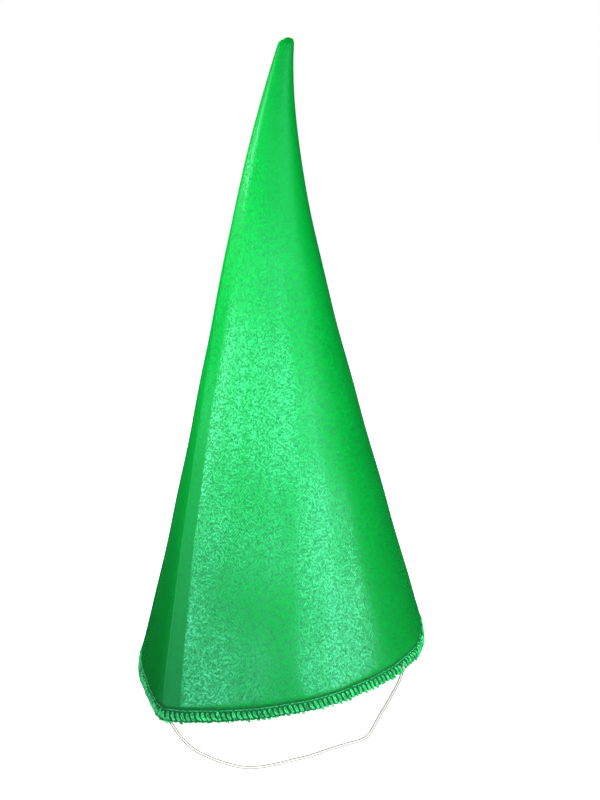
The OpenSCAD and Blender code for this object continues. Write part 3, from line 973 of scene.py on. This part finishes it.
def make_rim_upper():
    """Face loops: each runs up to the needle line, round it and slants back to the edge."""
    parts = []
    for k, turn in enumerate(RIM_TURNS):
        step = next_step(k)
        up = OVERLOCK_H + random.uniform(-0.45, 0.3) * MM
        foot = random.uniform(-1.6, -0.5) * MM
        jog = random.uniform(-0.1, 0.1)
        tilt = random.uniform(0.1, 0.45)
        under = CLOTH_T * random.uniform(0.3, 0.6)
        face = BAND_DEPTH - YARN_R
        tuck = TUCK * float(front_left(turn))
        low = face + tuck + 0.3 * MM
        out = [(-0.16, foot + 1.8 * MM, under + tuck), (-0.12, foot + 0.3 * MM, under * 0.6 + tuck),
               (-0.12, foot + 0.7 * MM, low + 0.2 * MM), (-0.15, 1.4 * MM, face + tuck * 0.5)]
        back = [(0.16, 1.4 * MM, face + tuck * 0.5), (0.17, foot + 0.6 * MM, low + 0.2 * MM),
                (0.18, foot + 0.2 * MM, under * 0.6 + tuck), (0.24, foot + 1.6 * MM, under + tuck)]
        loop = [(s + tilt * share + jog, z, inset) for (s, z, inset), share in zip(out, LOOP_LEAN)]
        loop += [(tilt * 0.3 - 0.15, up * 0.6, face - 0.35 * MM), (-0.17, up - 0.6 * MM, face - 0.25 * MM),
                 (-0.04, up + 0.1 * MM, face + 0.45 * MM), (0.13, up - 0.5 * MM, face - 0.2 * MM),
                 (tilt * 0.3 + 0.16, up * 0.6, face - 0.3 * MM)]
        loop += [(s + tilt * share + jog, z, inset) for (s, z, inset), share in zip(back, LOOP_LEAN[::-1])]
        path = rounded_path(rim_path(loop, turn, step), 4)
        wave = np.linspace(0, 2 * np.pi, len(path))
        swell = random.uniform(0.85, 1.12) + 0.12 * np.sin(wave + random.uniform(0, 6))
        parts.append(tube(path, YARN_R * swell, 10, 3, random.uniform(2.4, 3.4) * MM, 0.3))
    obj = joined("rim_face_loops", parts)
    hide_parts("rim_upper_looper_thread")
    return obj


def make_rim_lower():
    """Loops on the inside, and the chain where both loopers lock along the edge."""
    parts = []
    inner = CLOTH_T + 0.1 * MM + YARN_R
    for k, turn in enumerate(RIM_TURNS):
        step = next_step(k)
        jog = random.uniform(-0.1, 0.1)
        top = OVERLOCK_H - 0.4 * MM + random.uniform(-0.3, 0.3) * MM
        bottom = random.uniform(-0.35, 0.1) * MM
        loop = [(0.05 + jog, bottom, CLOTH_T * 0.35), (0.1 + jog, bottom + 0.1 * MM, CLOTH_T * 0.8),
                (0.12 + jog, bottom + 1.0 * MM, inner), (0.25, top * 0.6, inner),
                (0.35, top - 0.4 * MM, inner), (0.5, top, inner + 0.1 * MM),
                (0.62, top - 0.5 * MM, inner), (0.75, top * 0.55, inner),
                (0.85 + jog, bottom + 1.0 * MM, inner), (0.9 + jog, bottom + 0.1 * MM, CLOTH_T * 0.8),
                (0.98 + jog, bottom, CLOTH_T * 0.35), (1.03, bottom + 0.15 * MM, CLOTH_T * 0.2)]
        parts.append(tube(rounded_path(rim_path(loop, turn, step), 3), YARN_R * 0.85, 8, 3, 3 * MM, 0.3))
    obj = joined("rim_inside_loops", parts)
    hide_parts("rim_lower_looper_thread")
    return obj


def make_rim_needle():
    """The needle thread's stitches, sunk in the groove above the loops."""
    z = NEEDLE_Z - 0.35 * MM
    sink = GROOVE_DEPTH * 0.9
    stitch = [(0.06, z, sink + 0.6 * MM), (0.12, z, sink + 0.1 * MM), (0.3, z, sink - 0.12 * MM),
              (0.5, z + 0.05 * MM, sink - 0.18 * MM), (0.7, z, sink - 0.12 * MM),
              (0.88, z, sink + 0.1 * MM), (0.94, z, sink + 0.6 * MM)]
    parts = [tube(rounded_path(rim_path(stitch, turn, next_step(k)), 3), 0.28 * MM, 7, 2, 1.2 * MM)
             for k, turn in enumerate(RIM_TURNS)]
    obj = joined("rim_needle_stitches", parts)
    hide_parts("rim_needle_thread")
    return obj


def make_fringe():
    """Cut ends of the satin's and lining's yarns that poke out between the loops."""
    parts = []
    for _ in range(CUT_YARNS):
        turn = random.uniform(0, 360)
        inset = random.uniform(0.2, CLOTH_T / MM) * MM
        drop = random.uniform(0.4, 1.5) * MM
        lean = math.degrees(random.uniform(-1.2, 1.2) * MM / RIM_R)
        push = random.uniform(-0.6, 0.5) * MM
        corners = [(0, 1.2 * MM, inset), (0, 0.3 * MM, inset), (lean * 0.3, -0.4 * drop, inset + 0.3 * push),
                   (lean, -drop, inset + push)]
        path = rounded_path(rim_path(corners, turn, 1), 3)
        parts.append(tube(path, random.uniform(0.06, 0.13) * MM, 5))
    return joined("rim_cut_yarns", parts)


for rim_part in (make_rim_upper(), make_rim_lower(), make_rim_needle(), make_fringe()):
    rim_part.data.materials.append(GREEN_THREAD)


# ---- Studio ----

SOFT = ("diffuse",)
SHINE = ("glossy",)

make_floor()
make_world()
# The glints show only in reflections, and make the satin's bands of shine; the other lights shade it
softbox("key", 325, 5, 1.5, (0, 0, 0.12), (1.1, 0.5), 9.5, seen=SOFT)
softbox("top_left", 175, 12, 0.8, (0.01, 0, 0.30), (0.2, 0.2), 4.2, 35, SOFT)
softbox("upper_front", 260, 40, 0.8, (0.01, 0, 0.17), (0.2, 0.2), 4, 35, SOFT)
softbox("below", 270, -90, 0.34, (0, 0, 0), (1.6, 1.6), 2, seen=SOFT)
softbox("back", 90, 30, 1.4, (0, 0, 0.12), (1.0, 0.8), 9.5)
softbox("glint_tip", 163, 0, 0.5, (0.01, 0, 0.34), (0.22, 0.1), 4.5, seen=SHINE)
softbox("glint_high", 195, 0, 0.5, (0.01, 0, 0.18), (0.18, 0.1), 6, seen=SHINE)
softbox("glint_left", 221, 0, 0.5, (0, 0, 0.20), (0.2, 0.1), 5.5, seen=SHINE)
softbox("glint_between", 248, 0, 0.5, (0, 0, 0.20), (0.22, 0.1), 5, seen=SHINE)
softbox("glint_middle", 279, 0, 0.5, (0, 0, 0.18), (0.3, 0.1), 5.5, seen=SHINE)
softbox("glint_front", 307, 0, 0.5, (0, 0, 0.08), (0.26, 0.1), 5, seen=SHINE)
softbox("glint_right", 327, 0, 0.5, (0, 0, -0.01), (0.28, 0.1), 4.9, seen=SHINE)
